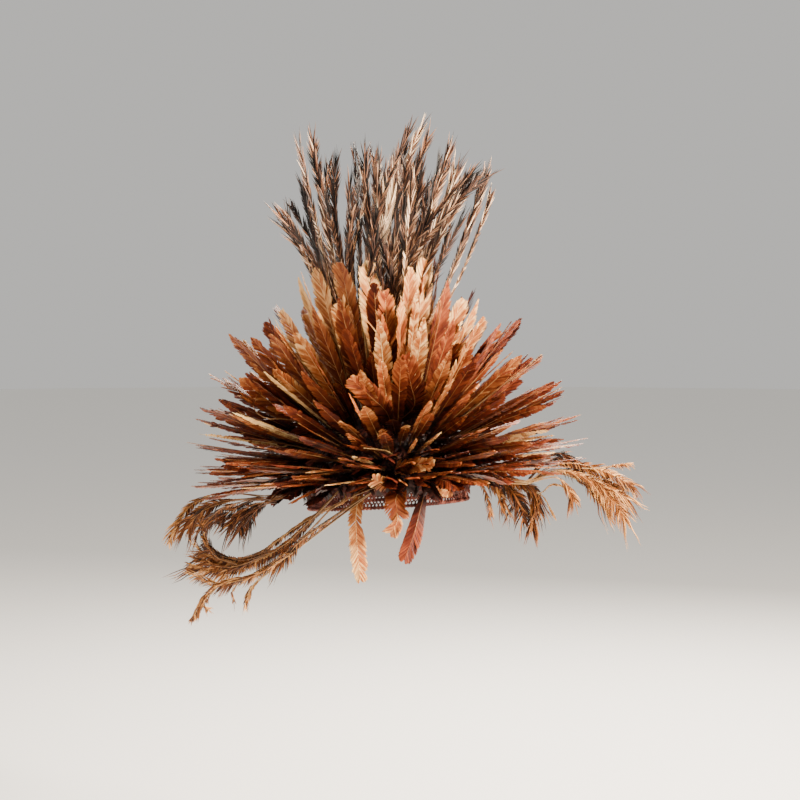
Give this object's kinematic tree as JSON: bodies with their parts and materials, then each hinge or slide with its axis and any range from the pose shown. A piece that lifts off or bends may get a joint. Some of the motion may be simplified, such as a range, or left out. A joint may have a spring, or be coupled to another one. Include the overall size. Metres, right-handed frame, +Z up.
{
  "type": "feathered headdress",
  "caption": "Netted skullcap carrying rings of rust-brown feathers, a tall crown plume and soft drooping plumes.",
  "frame": {"origin": "centre of the cap's rim, where the cap sits on a head", "axes": "+Z up, wearer looks along -Y, +X to the wearer's left"},
  "size_m": [0.3996, 0.424, 0.505],
  "materials": {
    "cap_cord": "twisted plant-fibre cord, dyed red-brown, looped into a net",
    "rust_feather": "rust-brown body feathers with pale shafts and frayed barbs",
    "dark_plume": "long brown-black and tan plumes with bare shafts and ragged barbs",
    "tan_down": "soft golden-brown plumes with long loose barbs"
  },
  "bodies": {
    "root": {"netted_cap": "cap_cord", "feather_ring_1": "rust_feather", "feather_ring_2": "rust_feather", "feather_ring_3": "rust_feather", "feather_ring_4": "rust_feather", "feather_ring_5": "rust_feather", "feather_ring_6": "rust_feather", "feather_ring_7": "rust_feather", "feather_ring_8": "rust_feather", "crown_plume": "dark_plume", "drooping_plume_1": "tan_down", "drooping_plume_2": "tan_down", "drooping_plume_3": "tan_down", "drooping_plume_4": "tan_down", "drooping_plume_5": "tan_down", "drooping_plume_6": "tan_down", "hanging_feather_1": "rust_feather", "hanging_feather_2": "rust_feather", "hanging_feather_3": "rust_feather", "hanging_feather_4": "rust_feather"}
  },
  "joints": []
}
